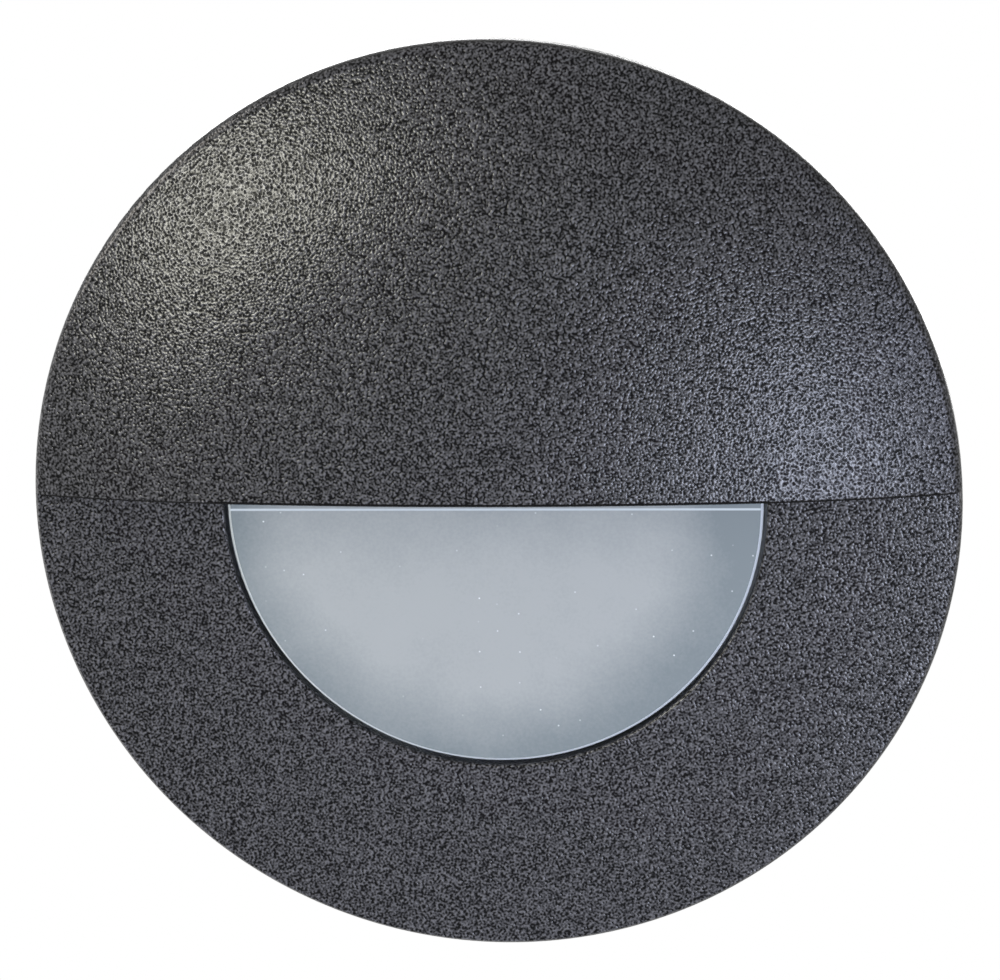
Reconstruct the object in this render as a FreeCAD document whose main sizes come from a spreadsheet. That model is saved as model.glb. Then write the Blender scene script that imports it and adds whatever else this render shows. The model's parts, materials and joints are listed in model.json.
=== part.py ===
import FreeCAD, Part
import Sketcher
import math
import os

# Round recessed step light with an eyelid hood over the upper half of its lens.
# Frame: +Z up, the front looks along -Y, y = 0 is the face of the wall, the light's axis is the Y axis.

doc = FreeCAD.newDocument("step_light")
V = FreeCAD.Vector

# Driving dimensions, in millimetres and degrees.
driving = {
    # faceplate: flange, eyelid hood, window, collar
    "plate_radius": 45.0, "plate_depth": 3.0, "rim_round": 1.2, "rim_back": 1.2, "rim_bevel": 0.6,
    "hood_rise": 5.0, "hood_edge": 1.0, "crown_reach": 27.0, "crown_radius": 270.0, "brow_radius": 93.6,
    "hood_wall": 1.8, "lip_round": 0.3, "window_radius": 26.35, "edge_break": 0.25, "lip": 1.8,
    "seat_radius": 28.3, "land": 1.6, "collar_radius": 33.4, "collar_bore": 32.0, "collar_end": 8.0,
    "core_inner": 35.0, "core_outer": 42.6, "core_deep": 3.6, "core_shallow": 1.9, "core_sweep": 150.0,
    # seals on the faceplate
    "foam_inner": 34.3, "foam_outer": 43.4, "foam_thick": 1.2, "seal_inner": 26.6, "seal_thick": 0.8,
    # lens
    "lens_radius": 26.0, "lens_set_back": 0.4, "lens_wall": 2.0, "lens_flange": 27.9, "lens_bore": 24.0,
    "lens_bevel": 0.25,
    # ring that holds the lens
    "ring_bore": 24.4, "ring_radius": 31.7, "ring_thick": 1.2, "ring_pitch": 29.9, "ring_notch": 3.0,
    # reflector
    "cup_lip": 27.4, "cup_lip_thick": 1.2, "cup_mouth": 23.2, "cup_throat": 12.5, "cup_wall": 1.2,
    "peg_radius": 1.0, "peg_place": 13.1,
    # light source
    "board_front": 13.2, "board_thick": 1.6, "board_radius": 22.8, "board_pitch": 19.0, "chip_side": 3.0,
    "chip_thick": 0.7, "chip_pitch": 7.0, "pad_thick": 0.5, "lead_hole": 1.8, "lead_place": 17.5,
    # housing
    "joint_thick": 0.8, "joint_inner": 28.4, "flange_radius": 32.8, "flange_thick": 2.5,
    "body_radius": 25.0, "front_bore": 23.2,
    "web_thick": 3.0, "rear_bore": 21.5, "body_end": 44.0, "side_pad": 26.0, "side_pad_half": 7.0,
    "side_pad_end": 37.0, "groove_root": 23.4, "groove_half": 1.1, "groove_end": 40.0, "groove_step": 15.0,
    "boss_pitch": 30.4, "boss_radius": 2.4, "tower_pitch": 21.0, "tower_radius": 2.8, "tower_start": 32.0,
    # driver
    "spacer_tall": 4.0, "spacer_radius": 2.2, "driver_radius": 17.0, "driver_thick": 1.6,
    "driver_pitch": 14.0, "coil_wide": 15.0, "coil_tall": 11.0, "coil_deep": 11.0, "can_radius": 4.0,
    "can_long": 10.0, "block_wide": 15.0, "block_tall": 7.0, "block_deep": 9.0,
    # back cover and cable gland
    "cover_thick": 3.0, "cover_seal_inner": 17.8, "gland_thread": 6.0, "gland_bore": 3.7, "gland_hex": 8.4,
    "gland_hex_long": 4.0, "gland_washer": 0.8, "gland_neck": 5.8, "gland_neck_long": 5.0, "bush_proud": 1.2,
    "bush_radius": 5.0, "bush_bore": 3.5, "bush_long": 6.0, "locknut_long": 3.0, "cap_hex": 8.6,
    "cap_hex_long": 5.0, "cap_mouth": 4.2, "cap_wall": 1.2, "cap_gap": 0.4,
    # screws
    "fine_shank": 1.0, "fine_head": 1.8, "fine_head_tall": 1.3, "fine_long": 4.0,
    "screw_shank": 1.25, "screw_head": 2.2, "screw_head_tall": 1.6, "housing_screw_long": 9.0,
    "board_screw_long": 4.6, "cover_screw_long": 9.0, "hole_play": 0.02,
    # spring clips
    "pivot_x": 29.8, "pivot_y": 27.5, "sheet_thick": 1.0, "base_front": 14.0, "base_back": 35.6,
    "cheek_inner": 5.1, "cheek_outer": 6.1, "cheek_round": 2.6, "cheek_foot": 4.2,
    "pin_radius": 1.25, "pin_play": 0.05, "pin_head": 2.0, "pin_head_tall": 0.6, "pin_half": 7.6,
    "clip_screw_front": 17.4, "clip_screw_back": 32.6, "clip_screw_head": 2.1, "clip_screw_head_tall": 0.9,
    "clip_screw_long": 4.4,
    "arm_cheek_inner": 6.5, "arm_cheek_outer": 7.5, "arm_cheek_round": 2.4, "arm_start": 3.4,
    "arm_waist": 9.5, "arm_tip": 23.5, "arm_half_thick": 0.6, "arm_tip_half": 4.0, "arm_angle": 64.0,
    "rib_start": 12.5, "rib_end": 17.5, "rib_half": 1.2, "rib_rise": 0.6,
    "foot_start": 18.5, "foot_end": 24.5, "foot_half_thick": 1.6, "foot_half": 5.9, "foot_round": 1.2,
    "wire_radius": 0.45, "coil_mean": 2.2, "coil_pitch": 1.4, "coil_start": 190.0, "coil_full_turns": 4.0,
    "hook_place": 10.0, "hook_bend": 1.1, "hook_hole": 0.7, "tail_hole": 0.65,
}

sheet = doc.addObject("Spreadsheet::Sheet", "sizes")
for row, (alias, number) in enumerate(driving.items(), start=1):
    sheet.set("A%d" % row, alias.replace("_", " "))
    sheet.set("B%d" % row, str(number))
    sheet.setAlias("B%d" % row, alias)
doc.recompute()


# A size is written as a sum of sheet names and plain numbers, such as "plate_radius - 2*rim_round".
def value(text):
    total = 0.0
    sign = 1.0
    for word in text.split():
        if word in ("+", "-"):
            sign = -1.0 if word == "-" else 1.0
            continue
        factor, _, name = word.rpartition("*")
        number = float(sheet.get(name)) if name in driving else float(name)
        total += sign * number * float(factor or 1.0)
    return total


def bound(text):
    words = []
    for word in text.split():
        factor, star, name = word.rpartition("*")
        words.append(factor + star + ("sizes." + name if name in driving else name))
    return " ".join(words)


def bind(thing, field, text):
    thing.setExpression(field, bound(text))


def new_body(name):
    body = doc.addObject("PartDesign::Body", name)
    body.Label = name
    return body


def datum(body, role):
    return next(item for item in body.Origin.OriginFeatures if item.Role == role)


def sketch_on(body, role, name, offset=None):
    sketch = body.newObject("Sketcher::SketchObject", name)
    sketch.AttachmentSupport = [(datum(body, role), "")]
    sketch.MapMode = "FlatFace"
    if offset:
        bind(sketch, "AttachmentOffset.Base.z", offset)
    return sketch


def held(sketch, kind, *where, size):
    index = sketch.addConstraint(Sketcher.Constraint(kind, *where, value(size)))
    bind(sketch, "Constraints[%d]" % index, size)


# A coordinate given as text is held at that size; one given as a number is only a first guess.
def hold_point(sketch, edge, end, place):
    for kind, axis, size in (("DistanceX", -2, place[0]), ("DistanceY", -1, place[1])):
        if not isinstance(size, str):
            continue
        if value(size) == 0:
            sketch.addConstraint(Sketcher.Constraint("PointOnObject", edge, end, axis))
        else:
            held(sketch, kind, -1, 1, edge, end, size=size)


def arc_between(start, stop, radius, left):
    along = stop - start
    normal = V(-along.y, along.x, 0).normalize() * (1 if left else -1)
    rise = radius - math.sqrt(max(radius ** 2 - along.Length ** 2 / 4, 0.0))
    return Part.Arc(start, (start + stop) * 0.5 - normal * rise, stop)


# Closed outline through the points. arcs: {first point: (radius, centre on the left)}, where a half
# circle is held by its centre; smooth: points where both edges are tangent.
def outline(sketch, points, arcs={}, smooth=()):
    places = [V(*(value(c) if isinstance(c, str) else c for c in point), 0) for point in points]
    edges = []
    for i, start in enumerate(places):
        stop = places[(i + 1) % len(places)]
        if i in arcs:
            edge = sketch.addGeometry(arc_between(start, stop, value(arcs[i][0]), arcs[i][1]), False)
        else:
            edge = sketch.addGeometry(Part.LineSegment(start, stop), False)
        forward = (sketch.getPoint(edge, 1) - start).Length < (sketch.getPoint(edge, 2) - start).Length
        edges.append((edge, 1, 2) if forward else (edge, 2, 1))
    for i, (edge, first, last) in enumerate(edges):
        following = edges[(i + 1) % len(edges)]
        joint = "Tangent" if (i + 1) % len(edges) in smooth else "Coincident"
        sketch.addConstraint(Sketcher.Constraint(joint, edge, last, following[0], following[1]))
        hold_point(sketch, edge, first, points[i])
        if i in arcs:
            chord = (places[(i + 1) % len(places)] - places[i]).Length
            if chord < 2 * value(arcs[i][0]) - 1e-6:
                held(sketch, "Radius", edge, size=arcs[i][0])
            else:
                hold_point(sketch, edge, 3, (points[i][0], 0.0))
    return edges


def rectangle(sketch, left, right, low, high):
    outline(sketch, [(left, low), (right, low), (right, high), (left, high)])


def circle(sketch, across, up, radius):
    edge = sketch.addGeometry(Part.Circle(V(value(across), value(up), 0), V(0, 0, 1), value(radius)), False)
    hold_point(sketch, edge, 3, (across, up))
    held(sketch, "Radius", edge, size=radius)


def hexagon(sketch, radius):
    outline(sketch, [at_angle(radius, 60 * k) for k in range(6)])


def pad(body, sketch, length, midplane=False):
    feature = body.newObject("PartDesign::Pad", sketch.Name + "_pad")
    feature.Profile = sketch
    bind(feature, "Length", length)
    feature.Midplane = midplane
    sketch.Visibility = False
    return feature


def turn(body, sketch, axis="V_Axis", kind="Revolution", sweep=None):
    feature = body.newObject("PartDesign::" + kind, sketch.Name + "_turn")
    feature.Profile = sketch
    feature.ReferenceAxis = (sketch, [axis])
    feature.Angle = 360.0
    if sweep:
        feature.Midplane = True
        bind(feature, "Angle", sweep)
    sketch.Visibility = False
    return feature


# A cut that removes nothing points the wrong way, so the volume is compared.
def removes(body, make):
    doc.recompute()
    before = body.Shape.Volume
    feature = make()
    doc.recompute()
    if body.Shape.Volume > before - 1e-3:
        raise RuntimeError(feature.Name + " cuts nothing")
    return feature


def pocket(body, sketch, length, midplane=False):
    def make():
        feature = body.newObject("PartDesign::Pocket", sketch.Name + "_cut")
        feature.Profile = sketch
        bind(feature, "Length", length)
        feature.Midplane = midplane
        return feature
    return removes(body, make)


def groove(body, sketch, axis="V_Axis", sweep=None):
    return removes(body, lambda: turn(body, sketch, axis, "Groove", sweep))


# Repeats features about the light's axis.
def around(body, features, count, sweep="360"):
    pattern = body.newObject("PartDesign::PolarPattern", features[0].Name + "_round")
    pattern.Originals = features
    pattern.Axis = (datum(body, "Y_Axis"), [""])
    pattern.Occurrences = count
    bind(pattern, "Angle", sweep)
    body.Tip = pattern
    return pattern


# Sums of sizes, joined, multiplied by a plain number, or with every sign turned.
def plus(first, second):
    return first + (" " if second.startswith("-") else " + ") + second


def scaled(text, factor):
    words = text.split()
    if words[0] not in ("+", "-"):
        words.insert(0, "+")
    total = []
    for sign, word in zip(words[::2], words[1::2]):
        own, _, name = word.rpartition("*")
        number = factor * float(own or 1.0) * (1 if sign == "+" else -1)
        total += ["-" if number < 0 else "+", "%.6f*%s" % (abs(number), name)]
    return " ".join(total[1:] if total[0] == "+" else total)


def minus(text):
    return scaled(text, -1.0)


def at_angle(pitch, angle):
    return scaled(pitch, math.cos(math.radians(angle))), scaled(pitch, math.sin(math.radians(angle)))


# Depths along the light's axis are given as y. A pad fills front to back, a hole cuts front to back.
def pad_y(body, name, front, back, draw):
    sketch = sketch_on(body, "XZ_Plane", name, minus(back))
    draw(sketch)
    return pad(body, sketch, plus(back, minus(front)))


def hole_y(body, name, front, back, draw):
    sketch = sketch_on(body, "XZ_Plane", name, minus(front))
    draw(sketch)
    return pocket(body, sketch, plus(back, minus(front)))


# A turned piece: its section is drawn as (radius, y) and swept about the light's axis.
def turned(name, points, arcs={}):
    body = new_body(name)
    sketch = sketch_on(body, "XY_Plane", name + "_section")
    outline(sketch, points, arcs)
    turn(body, sketch)
    return body


def ring(name, inner, outer, front, back):
    return turned(name, [(inner, front), (outer, front), (outer, back), (inner, back)])


# Pan-head screws, heads at the front when facing is 1 and at the back when it is -1, spread evenly
# about the light's axis from the start angle.
def screws(name, pitch, under_head, facing, sizes, long, count, start):
    shank, head, head_tall = sizes
    body = new_body(name)
    sketch = sketch_on(body, "XY_Plane", name + "_section")
    tip = plus(under_head, scaled(long, facing))
    top = plus(under_head, scaled(head_tall, -facing))
    edge = plus(under_head, scaled(head_tall, -0.55 * facing))
    socket = plus(under_head, scaled(head_tall, -0.45 * facing))
    outline(sketch, [
        (pitch, tip),
        (pitch + " + " + shank, tip),
        (pitch + " + " + shank, under_head),
        (pitch + " + " + head, under_head),
        (pitch + " + " + head, edge),
        (pitch + " + 0.7*" + head, top),
        (pitch + " + 0.42*" + head, top),
        (pitch + " + 0.42*" + head, socket),
        (pitch, socket),
    ])
    axis = sketch.addGeometry(Part.LineSegment(V(value(pitch), 0, 0), V(value(pitch), 1, 0)), True)
    hold_point(sketch, axis, 1, (pitch, "0"))
    hold_point(sketch, axis, 2, (pitch, "1"))
    first = turn(body, sketch, "Axis0")
    body.AllowCompound = True
    around(body, [first], count)
    body.Placement = FreeCAD.Placement(V(0, 0, 0), FreeCAD.Rotation(V(0, 1, 0), -start))
    return body


def screw_holes(body, name, pitch, radius, front, back, count, start):
    across, up = at_angle(pitch, start)
    first = hole_y(body, name, front, back, lambda sketch: circle(sketch, across, up, radius))
    return around(body, [first], count)


fine_screw = ("fine_shank", "fine_head", "fine_head_tall")
stout_screw = ("screw_shank", "screw_head", "screw_head_tall")
housing_start = 45.0
tower_turn = 90.0

plate_front = "- plate_depth"
lens_front = "- plate_depth + lens_set_back"
seat = "- plate_depth + lip"
lens_step = seat + " + seal_thick"
ring_back = "land + ring_thick"
board_back = "board_front + board_thick"
web_front = board_back + " + pad_thick"
web_back = web_front + " + web_thick"
flange_front = "collar_end + joint_thick"
flange_back = flange_front + " + flange_thick"
driver_front = web_back + " + spacer_tall"
driver_back = driver_front + " + driver_thick"
cover_front = "body_end + joint_thick"
cover_back = cover_front + " + cover_thick"
gland_front = cover_back + " + gland_washer"
gland_shoulder = gland_front + " + gland_hex_long"
neck_back = gland_shoulder + " + gland_neck_long"
bush_back = neck_back + " + bush_proud"
bush_front = bush_back + " - bush_long"
cap_front = gland_shoulder + " + cap_gap"
cap_back = bush_back + " + cap_wall"


def on_window_edge(edge):
    box = edge.BoundBox
    flat = box.YLength < 1e-3 and abs(box.YMin - value(plate_front)) < 1e-3
    return flat and box.ZLength > 1 and abs(box.XMax - value("window_radius")) < 1e-3


def on_hood_lip(edge):
    box = edge.BoundBox
    level = box.ZLength < 1e-3 and abs(box.ZMin - value("hood_edge")) < 1e-3
    return level and box.XLength > 0.1 and box.YMin < value(plate_front) - 0.1


# Die-cast faceplate: a shallow domed hood over the upper half, cut back to the flat flange below it.
def faceplate():
    body = new_body("faceplate")
    section = sketch_on(body, "XY_Plane", "faceplate_section")
    # turned upright, so that the revolved faces start at the top of the hood
    section.AttachmentOffset = FreeCAD.Placement(V(0, 0, 0), FreeCAD.Rotation(V(0, 1, 0), -90))
    crown_middle = value("crown_radius - plate_depth - hood_rise")
    reach, crown, brow = value("crown_reach"), value("crown_radius"), value("brow_radius")
    crown_edge = crown_middle - math.sqrt(crown ** 2 - reach ** 2)
    brow_across = reach * (1 - brow / crown)
    brow_up = crown_middle + (crown_edge - crown_middle) * (1 - brow / crown)
    rim_across = value("plate_radius - rim_round") - brow_across
    rim_up = brow_up - math.sqrt((brow - value("rim_round")) ** 2 - rim_across ** 2)
    meet = brow / (brow - value("rim_round"))
    meet_point = (brow_across + rim_across * meet, brow_up + (rim_up - brow_up) * meet)
    roof = crown_middle - math.sqrt((crown - value("hood_wall")) ** 2 - value("window_radius") ** 2)
    edges = outline(section, [
        ("0", "- plate_depth - hood_rise"),
        ("crown_reach", crown_edge),
        meet_point,
        ("plate_radius", rim_up),
        ("plate_radius", "- rim_back"),
        ("plate_radius - rim_bevel", "0"),
        ("foam_outer", "0"),
        ("foam_outer", "- foam_thick"),
        ("foam_inner", "- foam_thick"),
        ("foam_inner", "0"),
        ("collar_radius", "0"),
        ("collar_radius", "collar_end"),
        ("collar_bore", "collar_end"),
        ("collar_bore", "land"),
        ("seat_radius", "land"),
        ("seat_radius", seat),
        ("window_radius", seat),
        ("window_radius", roof),
        ("0", "- plate_depth - hood_rise + hood_wall"),
    ], {0: ("crown_radius", True), 1: ("brow_radius", True), 2: ("rim_round", True),
        17: ("crown_radius - hood_wall", False)}, smooth=(1, 2, 3))
    section.addConstraint(Sketcher.Constraint("PointOnObject", edges[0][0], 3, -2))
    section.addConstraint(Sketcher.Constraint("PointOnObject", edges[17][0], 3, -2))
    turn(body, section)

    below = sketch_on(body, "YZ_Plane", "below_the_hood")
    rectangle(below, "- plate_depth - 2*hood_rise", plate_front, "- plate_radius - hood_rise", "hood_edge")
    pocket(body, below, "2*plate_radius + hood_rise", midplane=True)
    soften(body, "edge_break", on_window_edge)
    soften(body, "lip_round", on_hood_lip)

    core = sketch_on(body, "YZ_Plane", "hood_core")
    outline(core, [("- foam_thick", "core_inner"), ("- foam_thick", "core_outer"),
                   ("- core_shallow", "core_outer"), ("- core_deep", "core_inner")])
    groove(body, core, "H_Axis", "core_sweep")

    boss = pad_y(body, "housing_boss", "land", "collar_end",
                 lambda sketch: circle(sketch, *at_angle("boss_pitch", housing_start), "boss_radius"))
    around(body, [boss], 4)
    screw_holes(body, "housing_thread", "boss_pitch", "screw_shank + hole_play",
                "land - fine_shank", "collar_end", 4, housing_start)
    screw_holes(body, "ring_thread", "ring_pitch", "fine_shank + hole_play",
                "land + 0.9*ring_thick - fine_long", "land", 4, 0.0)
    return body


# Frosted lens: a moulded disc that stands up through the window on a wider flange.
def lens():
    return turned("lens", [
        ("0", lens_front),
        ("lens_radius - lens_bevel", lens_front),
        ("lens_radius", lens_front + " + lens_bevel"),
        ("lens_radius", lens_step),
        ("lens_flange", lens_step),
        ("lens_flange", "land"),
        ("lens_bore", "land"),
        ("lens_bore - 0.6", lens_front + " + lens_wall"),
        ("0", lens_front + " + lens_wall"),
    ])


# Stamped ring that holds the lens against its seal, notched round the four housing bosses.
def lens_ring():
    body = ring("lens_ring", "ring_bore", "ring_radius", "land", ring_back)
    screw_holes(body, "ring_notches", "boss_pitch", "ring_notch", "land", ring_back, 4, housing_start)
    screw_holes(body, "ring_holes", "ring_pitch", "fine_shank + 0.15", "land", ring_back, 4, 0.0)
    return body


# White moulded cup between the lens ring and the light board.
def reflector():
    lip_back = ring_back + " + cup_lip_thick"
    body = turned("reflector", [
        ("cup_mouth", ring_back),
        ("cup_lip", ring_back),
        ("cup_lip", lip_back),
        ("cup_mouth + 0.4*cup_wall", lip_back),
        ("cup_throat + cup_wall", "board_front - cup_wall"),
        ("cup_throat + cup_wall", "board_front"),
        ("cup_throat", "board_front"),
        ("cup_throat", "board_front - 0.5*cup_wall"),
    ])
    peg = pad_y(body, "cup_pegs", "board_front - 0.5*cup_wall", board_back,
                lambda sketch: circle(sketch, "0", "peg_place", "0.55*peg_radius"))
    around(body, [peg], 2)
    return body


# Round aluminium-core board with its light-emitting packages.
def led_board():
    body = ring("led_board", "0", "board_radius", "board_front", board_back)
    screw_holes(body, "board_holes", "board_pitch", "screw_shank + 0.15", "board_front", board_back, 3, 90.0)
    screw_holes(body, "peg_holes", "peg_place", "peg_radius", "board_front", board_back, 2, 90.0)
    screw_holes(body, "board_lead_hole", "lead_place", "lead_hole", "board_front", board_back, 1, -90.0)
    return body


def led_chips():
    body = new_body("led_chips")
    first = pad_y(body, "chip", "board_front - chip_thick", "board_front", lambda sketch: rectangle(
        sketch, "chip_pitch - 0.5*chip_side", "chip_pitch + 0.5*chip_side", "- 0.5*chip_side",
        "0.5*chip_side"))
    body.AllowCompound = True
    around(body, [first], 6)
    return body


def thermal_pad():
    body = ring("thermal_pad", "0", "board_radius", board_back, web_front)
    screw_holes(body, "pad_holes", "board_pitch", "screw_shank + 0.4", board_back, web_front, 3, 90.0)
    screw_holes(body, "pad_lead_hole", "lead_place", "lead_hole", board_back, web_front, 1, -90.0)
    return body


# Die-cast housing: flange, finned barrel, pads for the clips, and a web that carries the light board in
# front and the driver behind.
def housing():
    body = turned("housing", [
        ("0", flange_front),
        ("flange_radius", flange_front),
        ("flange_radius", flange_back),
        ("body_radius", flange_back),
        ("body_radius", "body_end"),
        ("0", "body_end"),
    ])
    pad_y(body, "clip_pads", flange_back, "side_pad_end", lambda sketch: rectangle(
        sketch, "- side_pad", "side_pad", "- side_pad_half", "side_pad_half"))
    front = sketch_on(body, "XY_Plane", "front_chamber")
    outline(front, [("0", flange_front), ("front_bore", flange_front), ("front_bore", web_front),
                    ("0", web_front)])
    groove(body, front)
    rear = sketch_on(body, "XY_Plane", "rear_chamber")
    outline(rear, [("0", web_back), ("rear_bore", web_back), ("rear_bore", "body_end"), ("0", "body_end")])
    groove(body, rear)

    fins = sketch_on(body, "XZ_Plane", "fin_gaps", minus(flange_back))
    for step in range(-3, 4):
        for middle in (90, -90):
            angle = middle + step * value("groove_step")
            corners = []
            for out, side in (("groove_root", -1), ("body_radius + 1", -1), ("body_radius + 1", 1),
                              ("groove_root", 1)):
                along = at_angle(out, angle)
                across = at_angle(scaled("groove_half", side), angle + 90)
                corners.append((plus(along[0], across[0]), plus(along[1], across[1])))
            outline(fins, corners)
    pocket(body, fins, plus("groove_end", minus(flange_back)))

    tower = pad_y(body, "cover_tower", "tower_start", "body_end",
                  lambda sketch: circle(sketch, "0", "tower_pitch", "tower_radius"))
    around(body, [tower], 3)
    screw_holes(body, "cover_thread", "tower_pitch", "screw_shank + hole_play",
                "tower_start + 2*screw_shank", "body_end", 3, tower_turn)
    screw_holes(body, "flange_holes", "boss_pitch", "screw_shank + 0.15", flange_front, flange_back, 4,
                housing_start)
    screw_holes(body, "board_thread", "board_pitch", "screw_shank + hole_play", web_front,
                web_front + " + 0.95*web_thick", 3, tower_turn)
    screw_holes(body, "driver_thread", "driver_pitch", "screw_shank + hole_play",
                web_back + " - 0.8*web_thick", web_back, 3, -tower_turn)
    screw_holes(body, "web_lead_hole", "lead_place", "lead_hole", web_front, web_back, 1, -tower_turn)
    clip = sketch_on(body, "YZ_Plane", "clip_thread", "side_pad")
    for place in ("clip_screw_front", "clip_screw_back"):
        circle(clip, place, "0", "screw_shank + hole_play")
    around(body, [pocket(body, clip, "clip_screw_long - 0.8*sheet_thick")], 2)
    return body


# Driver: a round board on three spacers with a transformer, a capacitor and a terminal block.
def driver_board():
    body = ring("driver_board", "0", "driver_radius", driver_front, driver_back)
    screw_holes(body, "driver_holes", "driver_pitch", "screw_shank + 0.15", driver_front, driver_back, 3,
                -tower_turn)
    return body


def driver_spacers():
    body = new_body("driver_spacers")
    body.AllowCompound = True
    place = at_angle("driver_pitch", -tower_turn)
    first = pad_y(body, "spacer", web_back, driver_front,
                  lambda sketch: circle(sketch, *place, "spacer_radius"))
    bore = hole_y(body, "spacer_bore", web_back, driver_front,
                  lambda sketch: circle(sketch, *place, "screw_shank + 0.1"))
    around(body, [first, bore], 3)
    return body


# A block of the driver: its base stands on the driver board.
def driver_block(name, across, up, wide, tall, deep, round_edge):
    body = new_body(name)
    pad_y(body, name + "_outline", driver_back, plus(driver_back, deep), lambda sketch: rectangle(
        sketch, plus(across, scaled(wide, -0.5)), plus(across, scaled(wide, 0.5)),
        plus(up, scaled(tall, -0.5)), plus(up, scaled(tall, 0.5))))
    soften(body, round_edge, lambda edge: abs(edge.BoundBox.YLength - value(deep)) < 1e-3)
    return body


def transformer():
    return driver_block("transformer", "0", "2.0", "coil_wide", "coil_tall", "coil_deep", "0.8")


def terminal_block():
    return driver_block("terminal_block", "0", "- 7.5", "block_wide", "block_tall", "block_deep", "0.5")


def capacitor():
    body = new_body("capacitor")
    pad_y(body, "can", driver_back, plus(driver_back, "can_long"),
          lambda sketch: circle(sketch, "0", "12.0", "can_radius"))
    soften(body, "0.6", lambda edge: edge.BoundBox.YMin > value(driver_back) + 1)
    return body


# Rounds the edges of a body that the test picks.
def soften(body, radius, test):
    doc.recompute()
    base = body.Tip
    names = ["Edge%d" % (i + 1) for i, edge in enumerate(body.Shape.Edges) if test(edge)]
    feature = body.newObject("PartDesign::Fillet", body.Name + "_round")
    feature.Base = (base, names)
    bind(feature, "Radius", radius)
    return feature


# Back cover with a screwed cable gland in its middle.
def back_cover():
    body = ring("back_cover", "gland_thread + 0.2", "body_radius", cover_front, cover_back)
    screw_holes(body, "cover_holes", "tower_pitch", "screw_shank + 0.15", cover_front, cover_back, 3,
                tower_turn)
    return body


def cover_gasket():
    body = ring("cover_gasket", "cover_seal_inner", "body_radius - 0.3", "body_end", cover_front)
    screw_holes(body, "gasket_holes", "tower_pitch", "screw_shank + 0.3", "body_end", cover_front, 3,
                tower_turn)
    return body


def housing_gasket():
    body = ring("housing_gasket", "joint_inner", "flange_radius - 0.2", "collar_end", flange_front)
    screw_holes(body, "joint_holes", "boss_pitch", "screw_shank + 0.2", "collar_end", flange_front, 4,
                housing_start)
    return body


def gland_body():
    thread_front = cover_front + " - locknut_long"
    body = turned("gland_body", [
        ("gland_bore", thread_front),
        ("gland_thread", thread_front),
        ("gland_thread", gland_front),
        ("gland_neck", gland_shoulder),
        ("gland_neck", neck_back),
        ("bush_radius", neck_back),
        ("bush_radius", bush_front),
        ("gland_bore", bush_front),
    ])

    def hex_ring(sketch):
        hexagon(sketch, "gland_hex")
        circle(sketch, "0", "0", "0.5*gland_bore + 0.5*gland_neck")
    pad_y(body, "gland_hexagon", gland_front, gland_shoulder, hex_ring)
    return body


def gland_locknut():
    body = new_body("gland_locknut")

    def hex_ring(sketch):
        hexagon(sketch, "gland_hex")
        circle(sketch, "0", "0", "gland_thread")
    pad_y(body, "locknut_hexagon", cover_front + " - locknut_long", cover_front, hex_ring)
    return body


def gland_nut():
    step = cap_front + " + cap_hex_long"
    body = turned("gland_nut", [
        ("gland_neck", cap_front),
        ("0.84*cap_hex", cap_front),
        ("0.84*cap_hex", step),
        ("0.62*cap_hex", cap_back),
        ("cap_mouth", cap_back),
        ("cap_mouth", bush_back),
        ("bush_radius", bush_back),
        ("gland_neck", neck_back),
    ], {2: ("cap_hex", True)})

    def hex_ring(sketch):
        hexagon(sketch, "cap_hex")
        circle(sketch, "0", "0", "0.5*cap_hex + 0.5*gland_neck")
    pad_y(body, "cap_hexagon", cap_front, step, hex_ring)
    return body


# The right-hand clip is drawn where it stands; the left-hand one is the same clip turned half a circle
# about the light's axis.
half_turn = FreeCAD.Placement(V(0, 0, 0), FreeCAD.Rotation(V(0, 1, 0), 180))
hand = {"right": FreeCAD.Placement(), "left": half_turn}


def on_clip_axis(side):
    return hand[side] * FreeCAD.Placement(V(value("pivot_x"), value("pivot_y"), 0), FreeCAD.Rotation())


def on_arm(side):
    lean = FreeCAD.Placement(V(0, 0, 0), FreeCAD.Rotation(V(0, 0, 1), -value("arm_angle")))
    return on_clip_axis(side) * lean


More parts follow.
